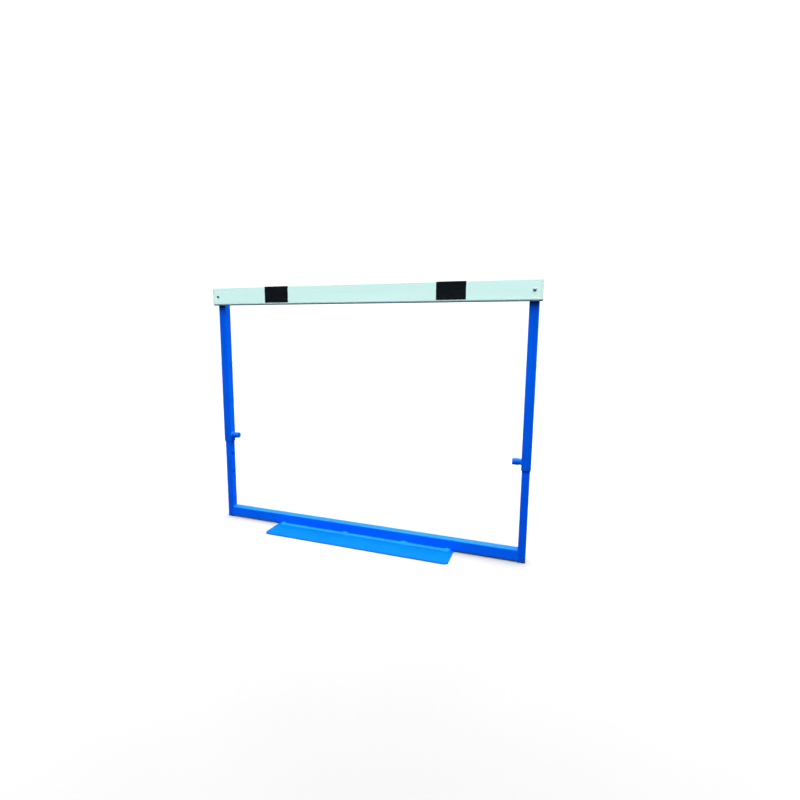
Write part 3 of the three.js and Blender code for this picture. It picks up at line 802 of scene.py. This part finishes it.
def plug(width, radius):
    """A tube end plug: a domed flange above Z = 0 and a ribbed hollow stem below it."""
    flange = block(width, width, (radius, radius), PLUG_FLANGE, PLUG_FLANGE_EDGE)
    fit = width - 2 * TUBE_WALL - PLUG_PLAY
    stem = tube(fit, fit, PLUG_STEM_RADIUS, PLUG_STEM, wall=PLUG_WALL, rim=PLUG_STEM_RIM)
    parts = [flange, shifted(stem, 0, 0, -PLUG_STEM)]
    side = fit + PLUG_RIB
    for index in range(PLUG_RIBS):
        rib = tube(side, side, PLUG_RIB, PLUG_RIB, wall=PLUG_WALL, rim=PLUG_RIB_RIM)
        parts.append(shifted(rib, 0, 0, -PLUG_STEM * (index + 1) / (PLUG_RIBS + 1)))
    return merged(*parts)


def foot_plug(label):
    node = f"foot_plug_{label}"
    center, size = middle(node)
    low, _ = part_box(node)
    mesh = quarter_turned(plug(size.x, LOWER_TUBE_RADIUS), "X", 2)
    shifted(mesh, center.x, center.y, low.z + PLUG_FLANGE)
    add_piece(f"{node}_moulding", mesh, PLASTIC, node, "base")


def upright_cap(label):
    node = f"upright_cap_{label}"
    center, size = middle(node)
    _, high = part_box(node)
    mesh = shifted(plug(size.x, OUTER_TUBE_RADIUS), center.x, center.y, high.z - PLUG_FLANGE)
    add_piece(f"{node}_moulding", mesh, PLASTIC, node, "upper_frame")


# Upper frame

BAR_BOTTOM_RADIUS = 0.006
BAR_END_ROUND = 0.0012
UPRIGHT_BORE_REACH = 0.02
BAR_BORE_REACH = 0.012

TAPE_GAP = 0.00005
TAPE_ROWS = 24
TAPE_COLUMNS = 48
TAPE_DRIFT = 0.0005

BOLT_HEAD = 0.0033
BOLT_HEAD_RADIUS = 0.00525
BOLT_SKIRT = 0.0007
BOLT_DOME_STEPS = 10
BOLT_EDGE = 0.0003
SHANK_RADIUS = 0.003
SHANK_TIP_RADIUS = 0.0022
SHANK_TIP = 0.0008
SOCKET_RADIUS = 0.00231
SOCKET_FLOOR = -0.0013
SOCKET_POINT = -0.0006

WASHER_BORE = 0.0033
WASHER_EDGE = 0.0002
NUT_HALF_WIDTH = 0.005
NUT_BORE = 0.0032
NUT_CHAMFER_START = 0.0049
NUT_CHAMFER_END = 0.008
NUT_CHAMFER_DEPTH = 0.0014


def at_bolt(mesh, sign, y):
    """Takes a mesh that is turned about X to one bolt's place, pointing to the back from y."""
    return shifted(quarter_turned(mesh, "Z"), sign * BOLT_X, y, BOLT_HEIGHT)


def upper_upright(label, sign):
    """The outer tube, with a hole for its spring pin and one for its bolt."""
    node = f"upper_upright_{label}"
    center, size = middle(node)
    low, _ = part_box(node)
    mesh = shifted(tube(size.x, size.y, OUTER_TUBE_RADIUS, size.z), center.x, center.y, low.z)
    pin_hole = index_hole(center.x - sign * size.x / 2, -sign, PIN_HEIGHT)
    bolt_hole = at_bolt(rod(BOLT_HOLE_RADIUS, -UPRIGHT_BORE_REACH, UPRIGHT_BORE_REACH), sign, 0)
    cut(mesh, pin_hole, bolt_hole)
    add_piece(f"{node}_tube", mesh, BLUE_TUBE, node, "upper_frame")


def crossbar():
    """The board, rounder along its bottom edges than its top ones, and drilled for the two bolts."""
    center, size = middle("crossbar")
    mesh = block(size.y, size.z, (BAR_BOTTOM_RADIUS, BAR_TOP_RADIUS), size.x, BAR_END_ROUND)
    quarter_turned(quarter_turned(mesh, "X"), "Z")
    shifted(mesh, -size.x / 2, center.y, center.z)
    holes = [
        at_bolt(rod(BOLT_HOLE_RADIUS, -BAR_BORE_REACH, BAR_BORE_REACH), sign, center.y)
        for _, sign in SIDES
    ]
    cut(mesh, *holes)
    add_piece("crossbar_board", mesh, BAR, "crossbar", "upper_frame")


def tape_path(node):
    """The line that a tape follows up the board's front and over its top corner.

    Each point is its Y and Z, and the Y and Z of the way out of the board there."""
    low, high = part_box(node)
    bar_low, bar_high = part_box("crossbar")
    corner_y = bar_low.y + BAR_TOP_RADIUS
    corner_z = bar_high.z - BAR_TOP_RADIUS
    path = []
    for step in range(TAPE_ROWS):
        path.append((bar_low.y, low.z + (corner_z - low.z) * step / TAPE_ROWS, -1.0, 0.0))
    for step in range(CORNER_STEPS + 1):
        angle = math.pi / 2 * step / CORNER_STEPS
        out_y = -math.cos(angle)
        out_z = math.sin(angle)
        path.append((corner_y + BAR_TOP_RADIUS * out_y, corner_z + BAR_TOP_RADIUS * out_z, out_y, out_z))
    path.append((high.y, bar_high.z, 0.0, 1.0))
    return path


def tape_row(path, x, share, seed, lift):
    """The points along a tape's path at x, at a lift from the board. The tape's cut edges drift."""
    edge = 2 * abs(share - 0.5)
    row = []
    for y, z, out_y, out_z in path:
        lean = TAPE_DRIFT * noise.noise(Vector((z * 30, share > 0.5, seed)))
        row.append(Vector((x + lean * edge, y + out_y * lift, z + out_z * lift)))
    return row


def stripe(label):
    """Tape laid on the board's front and folded over its top corner."""
    node = f"stripe_{label}"
    center, size = middle(node)
    low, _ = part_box(node)
    bar_low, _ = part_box("crossbar")
    face_lift = bar_low.y - low.y - TAPE_GAP
    seed = center.x * 10
    path = tape_path(node)
    rings = []
    for column in range(TAPE_COLUMNS + 1):
        share = column / TAPE_COLUMNS
        x = low.x + size.x * share
        back = tape_row(path, x, share, seed, TAPE_GAP)
        face = tape_row(path, x, share, seed, face_lift)
        rings.append(back[::-1] + face)
    add_piece(f"{node}_tape", skin(rings), TAPE, node, "upper_frame")


def bar_bolt(label, sign):
    """A button head with a hexagon socket, in front of the board, and its shank."""
    node = f"bar_bolt_{label}"
    low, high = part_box(node)
    shank = high.y - low.y - BOLT_HEAD
    profile = [(0, -BOLT_HEAD)]
    for step in range(1, BOLT_DOME_STEPS + 1):
        angle = math.pi / 2 * step / BOLT_DOME_STEPS
        rise = BOLT_SKIRT + (BOLT_HEAD - BOLT_SKIRT) * math.cos(angle)
        profile.append((BOLT_HEAD_RADIUS * math.sin(angle), -rise))
    profile += [
        (BOLT_HEAD_RADIUS, -BOLT_EDGE),
        (BOLT_HEAD_RADIUS - BOLT_EDGE, 0),
        (SHANK_RADIUS, 0),
        (SHANK_RADIUS, shank - SHANK_TIP),
        (SHANK_TIP_RADIUS, shank),
        (0, shank),
    ]
    mesh = turned(profile)
    outside = -3 * BOLT_HEAD
    socket = [(0, outside), (SOCKET_RADIUS, outside), (SOCKET_RADIUS, SOCKET_FLOOR), (0, SOCKET_POINT)]
    cut(mesh, turned(socket, 6))
    at_bolt(mesh, sign, low.y + BOLT_HEAD)
    add_piece(f"{node}_button", mesh, BOLT, node, "upper_frame")


def bar_washer(label, sign):
    node = f"bar_washer_{label}"
    low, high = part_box(node)
    outer = (high.x - low.x) / 2
    thick = high.y - low.y
    profile = [
        (WASHER_BORE, 0),
        (outer - WASHER_EDGE, 0),
        (outer, WASHER_EDGE),
        (outer, thick - WASHER_EDGE),
        (outer - WASHER_EDGE, thick),
        (WASHER_BORE, thick),
    ]
    mesh = at_bolt(turned(profile), sign, low.y)
    add_piece(f"{node}_disc", mesh, STEEL, node, "upper_frame")


def nut_chamfer(face, inward):
    """A ring-shaped cutter that takes a nut's corners off at one face."""
    outside = face - inward * CUT_CLEARANCE
    profile = [
        (NUT_CHAMFER_START, outside),
        (NUT_CHAMFER_END, outside),
        (NUT_CHAMFER_END, face + inward * NUT_CHAMFER_DEPTH),
    ]
    return turned(profile)


def bar_nut(label, sign):
    """A hexagon nut whose corners are turned off at both faces."""
    node = f"bar_nut_{label}"
    low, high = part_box(node)
    thick = high.y - low.y
    mesh = rod(NUT_HALF_WIDTH / math.cos(math.radians(30)), 0, thick, 6)
    bore = rod(NUT_BORE, -CUT_CLEARANCE, thick + CUT_CLEARANCE)
    cut(mesh, nut_chamfer(0, 1), nut_chamfer(thick, -1), bore)
    at_bolt(mesh, sign, low.y)
    add_piece(f"{node}_hexagon", mesh, STEEL, node, "upper_frame")


# Spring pins, measured along the pin from the outer tube's inner side face towards the middle

BARREL_RADIUS = 0.0095
BARREL_BORE = 0.0063
BARREL_START = 0.0002
BARREL_END = 0.0177
PIN_EDGE = 0.0003

RING_REACH = 0.003864
RING_PINCH = 0.16  # how much less it reaches in front and behind
RING_LEG = 0.00282
RING_STEPS = 168
RING_ARC_STEPS = 12
RING_ROOT = 0.0002
RING_HOLLOW = 0.65
RING_RIPPLES = 18
RING_RIPPLE_BOW = 0.6
RING_RIPPLE_SHARE = 0.15

BUSH_BORE = 0.0032
BUSH_STEM_RADIUS = 0.0061
BUSH_HEAD_RADIUS = 0.0085
BUSH_START = 0.0142
BUSH_HEAD_START = 0.0179
BUSH_END = 0.0195

WIRE_RADIUS = 0.00044
COIL_RADIUS = 0.00465
COIL_TURNS = 3.2
COIL_STEPS_PER_TURN = 36
WIRE_STEPS = 14
COIL_START = 0.0061
COIL_PLAY = 0.0003

NOSE_TIP = -0.0022
NOSE_RADIUS = 0.005
NOSE_ROUND = 0.001
COLLAR_RADIUS = 0.006
COLLAR_START = 0.0038
COLLAR_END = 0.0058
ROD_RADIUS = 0.003
ROD_END = 0.028

KNOB_RADIUS = 0.011
KNOB_BORE = 0.0098
KNOB_START = 0.0072
KNOB_FLOOR = 0.0237
KNOB_END = 0.0297
KNOB_ROUND = 0.0016
KNOB_RIM = 0.0004
KNOB_SOCKET_RADIUS = 0.0032
KNOB_SOCKET_END = 0.0287

CROSS_PIN_PLACE = 0.02585
CROSS_HOLE_RADIUS = 0.0014
CROSS_HOLE_REACH = 0.02


def at_pin(mesh, sign):
    """Takes a mesh that is turned about X to its spring pin's place on one side."""
    if sign > 0:
        quarter_turned(mesh, "Z", 2)
    return shifted(mesh, sign * OUTER_TUBE_INNER_FACE, 0, PIN_HEIGHT)


def pin_barrel(label, sign):
    profile = [
        (BARREL_BORE, BARREL_START),
        (BARREL_RADIUS, BARREL_START),
        *quarter_arc(BARREL_RADIUS - PIN_EDGE, BARREL_END - PIN_EDGE, PIN_EDGE, 0),
        (BARREL_BORE, BARREL_END),
    ]
    node = f"pin_barrel_{label}"
    mesh = at_pin(turned(profile), sign)
    add_piece(f"{node}_tube", mesh, BLUE_TUBE, node, "upper_frame")


def barrel_weld_ring(angle, sign):
    """The weld's outline at an angle round the barrel: its root, its hollow rippled face and its root."""
    around = Vector((0, math.cos(angle), math.sin(angle)))
    drift = 1 + 0.10 * noise.noise(Vector((math.cos(angle) * 2, math.sin(angle) * 2, sign * 3)))
    reach = RING_REACH * drift * (1 - RING_PINCH * math.cos(angle) ** 2)
    leg = RING_LEG * (1 + 0.08 * noise.noise(Vector((angle, 5, sign))))
    root = (BARREL_RADIUS - RING_ROOT) * around
    ring = [Vector((BARREL_START, 0, 0)) + root]
    for index in range(RING_ARC_STEPS + 1):
        share = index / RING_ARC_STEPS
        turn = math.pi / 2 * share
        out = (1 - math.sin(turn)) * RING_HOLLOW + (1 - share) * (1 - RING_HOLLOW)
        along = (1 - math.cos(turn)) * RING_HOLLOW + share * (1 - RING_HOLLOW)
        phase = RING_RIPPLES * angle / 2 + math.pi * RING_RIPPLE_BOW * (1 - (2 * share - 1) ** 2)
        wave = 1 - RING_RIPPLE_SHARE * abs(math.sin(phase)) * math.sin(math.pi * share)
        radius = BARREL_RADIUS + reach * out * wave
        ring.append(Vector((BARREL_START + leg * along * wave, 0, 0)) + radius * around)
    ring.append(Vector((BARREL_START + leg, 0, 0)) + root)
    return ring


def barrel_weld(label, sign):
    """A hand-laid weld ring with ripples round it, which stays within the outer tube's flat."""
    rings = [barrel_weld_ring(2 * math.pi * step / RING_STEPS, sign) for step in range(RING_STEPS)]
    node = f"barrel_weld_{label}"
    mesh = at_pin(skin(rings, cyclic=True), sign)
    add_piece(f"{node}_bead", mesh, BLUE_WELD_HIGHLIGHT, node, "upper_frame")


def barrel_bush(label, sign):
    profile = [
        (BUSH_BORE, BUSH_START),
        (BUSH_STEM_RADIUS, BUSH_START),
        (BUSH_STEM_RADIUS, BUSH_HEAD_START),
        (BUSH_HEAD_RADIUS, BUSH_HEAD_START),
        *quarter_arc(BUSH_HEAD_RADIUS - PIN_EDGE, BUSH_END - PIN_EDGE, PIN_EDGE, 0),
        (BUSH_BORE, BUSH_END),
    ]
    node = f"barrel_bush_{label}"
    mesh = at_pin(turned(profile), sign)
    add_piece(f"{node}_turning", mesh, BUSH, node, "upper_frame")


def wire_ring(center, out):
    """A ring of points round the spring's wire, in the plane of the coil's axis and the way out of it."""
    ring = []
    for index in range(WIRE_STEPS):
        turn = 2 * math.pi * index / WIRE_STEPS
        ring.append(center + WIRE_RADIUS * (math.cos(turn) * out + math.sin(turn) * Vector((1, 0, 0))))
    return ring


def pin_spring(label, sign):
    """A coil of round wire, with a mesh of its own."""
    start = COIL_START + WIRE_RADIUS
    length = BUSH_START - COIL_PLAY - WIRE_RADIUS - start
    steps = round(COIL_TURNS * COIL_STEPS_PER_TURN)
    rings = []
    for step in range(steps + 1):
        share = step / steps
        angle = 2 * math.pi * COIL_TURNS * share
        out = Vector((0, math.cos(angle), math.sin(angle)))
        rings.append(wire_ring(Vector((start + length * share, 0, 0)) + COIL_RADIUS * out, out))
    node = f"pin_spring_{label}"
    mesh = at_pin(skin(rings), sign)
    piece = add_piece(f"{node}_coil", mesh, WIRE, node, "upper_frame")
    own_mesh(piece)


def cross_hole():
    """A cutter along Z through the knob and its rod, where the cross pin goes."""
    hole = rod(CROSS_HOLE_RADIUS, -CROSS_HOLE_REACH, CROSS_HOLE_REACH, CROSS_PIN_STEPS)
    return shifted(quarter_turned(hole, "Y"), CROSS_PIN_PLACE, 0, 0)


def lock_pin(label, sign):
    """The turned pin: a round-edged nose, a collar that the spring pushes on and a rod to the knob."""
    profile = [
        (0, NOSE_TIP),
        (NOSE_RADIUS - NOSE_ROUND, NOSE_TIP),
        *quarter_arc(NOSE_RADIUS - NOSE_ROUND, NOSE_TIP + NOSE_ROUND, NOSE_ROUND, -90, 6),
        (NOSE_RADIUS, COLLAR_START),
        (COLLAR_RADIUS, COLLAR_START),
        (COLLAR_RADIUS, COLLAR_END),
        (ROD_RADIUS, COLLAR_END),
        (ROD_RADIUS, ROD_END - PIN_EDGE),
        (ROD_RADIUS - PIN_EDGE, ROD_END),
        (0, ROD_END),
    ]
    node = f"lock_pin_{label}"
    mesh = at_pin(cut(turned(profile), cross_hole()), sign)
    add_piece(f"{node}_turning", mesh, STEEL, node, f"pin_{label}")


def pull_knob(label, sign):
    """A painted cup over the barrel, rounded at its closed end."""
    rim = KNOB_START + KNOB_RIM
    shoulder = KNOB_RADIUS - KNOB_ROUND
    profile = [
        (0, KNOB_SOCKET_END),
        (KNOB_SOCKET_RADIUS, KNOB_SOCKET_END),
        (KNOB_SOCKET_RADIUS, KNOB_FLOOR),
        (KNOB_BORE, KNOB_FLOOR),
        (KNOB_BORE, rim),
        *quarter_arc(KNOB_BORE + KNOB_RIM, rim, KNOB_RIM, 180),
        *quarter_arc(KNOB_RADIUS - KNOB_RIM, rim, KNOB_RIM, 270),
        *quarter_arc(shoulder, KNOB_END - KNOB_ROUND, KNOB_ROUND, 0, 8),
        (shoulder - SUPPORT, KNOB_END),
        (0, KNOB_END),
    ]
    node = f"pull_knob_{label}"
    mesh = at_pin(cut(turned(profile, KNOB_STEPS), cross_hole()), sign)
    add_piece(f"{node}_cup", mesh, BLUE_KNOB, node, f"pin_{label}")


def knob_pin(label, sign):
    """The cross pin that holds the knob on its rod."""
    node = f"knob_pin_{label}"
    low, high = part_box(node)
    half = (high.z - low.z) / 2
    radius = (high.x - low.x) / 2
    profile = [
        (0, -half),
        (radius - PIN_EDGE, -half),
        (radius, PIN_EDGE - half),
        (radius, half - PIN_EDGE),
        (radius - PIN_EDGE, half),
        (0, half),
    ]
    mesh = quarter_turned(turned(profile, CROSS_PIN_STEPS), "Y")
    at_pin(shifted(mesh, CROSS_PIN_PLACE, 0, 0), sign)
    add_piece(f"{node}_dowel", mesh, STEEL, node, f"pin_{label}")


crossmember()
base_plate()
plate_weld()
crossbar()
for side, direction in SIDES:
    lower_upright(side, direction)
    crossmember_weld(side, direction)
    foot_plug(side)
    upper_upright(side, direction)
    upright_cap(side)
    stripe(side)
    bar_bolt(side, direction)
    bar_washer(side, direction)
    bar_nut(side, direction)
    pin_barrel(side, direction)
    barrel_weld(side, direction)
    barrel_bush(side, direction)
    pin_spring(side, direction)
    lock_pin(side, direction)
    pull_knob(side, direction)
    knob_pin(side, direction)


# Stage, light and camera

FLOOR_RADIUS = 12
FLOOR_DROP = 0.0002
BACKDROP_STRENGTH = 1.2
SKY_STRENGTH = 10.0
SKY_POWER = 2.5
SKY_LEAN = 0.27
GROUND_STRENGTH = 0.07

CAMERA_PLACE = (0.63181, -1.46260, 0.73529)
CAMERA_YAW = -0.3214
CAMERA_PITCH = 0.1384
CAMERA_ROLL = -0.0115
CAMERA_SENSOR = 36.0
CAMERA_LENS = 20.12


def stage_object(name, material):
    """Names the new stage object and keeps it from lighting the hurdle or showing in its gloss."""
    thing = bpy.context.object
    thing.name = name
    thing.data.materials.append(material)
    thing.visible_diffuse = False
    thing.visible_glossy = False
    thing.visible_shadow = False


def studio_floor():
    """A wide plain floor. It shows and catches shadows."""
    bpy.ops.mesh.primitive_circle_add(
        vertices=96, radius=FLOOR_RADIUS, fill_type="NGON", location=(0, 0, -FLOOR_DROP)
    )
    shader = Shader("studio_floor_pale", roughness=0.9, specular=0.0)
    shader.sheen(1.0, roughness=0.5, tint=WHITE)
    tone = shader.remap(shader.noise(2.0), NOISE_SPAN)
    shader.color(shader.blend(tone, FLOOR_GREY, FLOOR_PALE))
    stage_object("studio_floor", shader.material)


def studio_backdrop():
    """A white wall round the floor, far behind everything."""
    bpy.ops.mesh.primitive_uv_sphere_add(segments=48, ring_count=24, radius=FLOOR_RADIUS, location=(0, 0, 0))
    shader = Shader("studio_backdrop_white", roughness=1.0, specular=0.0)
    shader.uniform("Base Color", BLACK)
    shader.uniform("Emission Color", WHITE)
    shader.uniform("Emission Strength", BACKDROP_STRENGTH)
    stage_object("studio_backdrop", shader.material)


def studio_world():
    """Soft light that grows towards the zenith and is a little stronger from the right, over a dim ground."""
    world = bpy.data.worlds.new("studio_world")
    bpy.context.scene.world = world
    world.use_nodes = True
    tree = world.node_tree
    background = tree.nodes["Background"]
    parts = tree.nodes.new("ShaderNodeSeparateXYZ")
    way = tree.nodes.new("ShaderNodeTexCoord").outputs["Generated"]
    tree.links.new(way, parts.inputs["Vector"])
    height = math_node(tree, "MAXIMUM", parts.outputs["Z"], 0.0)
    rise = math_node(tree, "POWER", height, SKY_POWER)
    to_right = math_node(tree, "MULTIPLY", parts.outputs["X"], SKY_LEAN)
    lean = math_node(tree, "ADD", to_right, 1.0)
    shape = math_node(tree, "MULTIPLY", rise, lean)
    sky = math_node(tree, "MULTIPLY", shape, SKY_STRENGTH)
    strength = math_node(tree, "ADD", sky, GROUND_STRENGTH)
    tree.links.new(strength, background.inputs["Strength"])
    background.inputs["Color"].default_value = (*WHITE, 1)


def camera_turn():
    """The camera's rotation: to the left, down, and a little about its own axis."""
    forward = Vector((
        math.sin(CAMERA_YAW) * math.cos(CAMERA_PITCH),
        math.cos(CAMERA_YAW) * math.cos(CAMERA_PITCH),
        -math.sin(CAMERA_PITCH),
    ))
    level = Vector((math.cos(CAMERA_YAW), -math.sin(CAMERA_YAW), 0))
    plumb = forward.cross(level)
    right = level * math.cos(CAMERA_ROLL) + plumb * math.sin(CAMERA_ROLL)
    down = -level * math.sin(CAMERA_ROLL) + plumb * math.cos(CAMERA_ROLL)
    return Matrix((right, -down, -forward)).transposed()


def photo_camera():
    """The camera that a fit to the photograph's edges and corners gave."""
    data = bpy.data.cameras.new("photo_camera")
    data.sensor_fit = "HORIZONTAL"
    data.sensor_width = CAMERA_SENSOR
    data.lens = CAMERA_LENS
    data.clip_start = 0.05
    data.clip_end = 200
    camera = bpy.data.objects.new("photo_camera", data)
    camera.matrix_world = Matrix.Translation(CAMERA_PLACE) @ camera_turn().to_4x4()
    bpy.context.scene.collection.objects.link(camera)
    bpy.context.scene.camera = camera


studio_floor()
studio_backdrop()
studio_world()
photo_camera()
bpy.context.scene.view_settings.view_transform = "Standard"
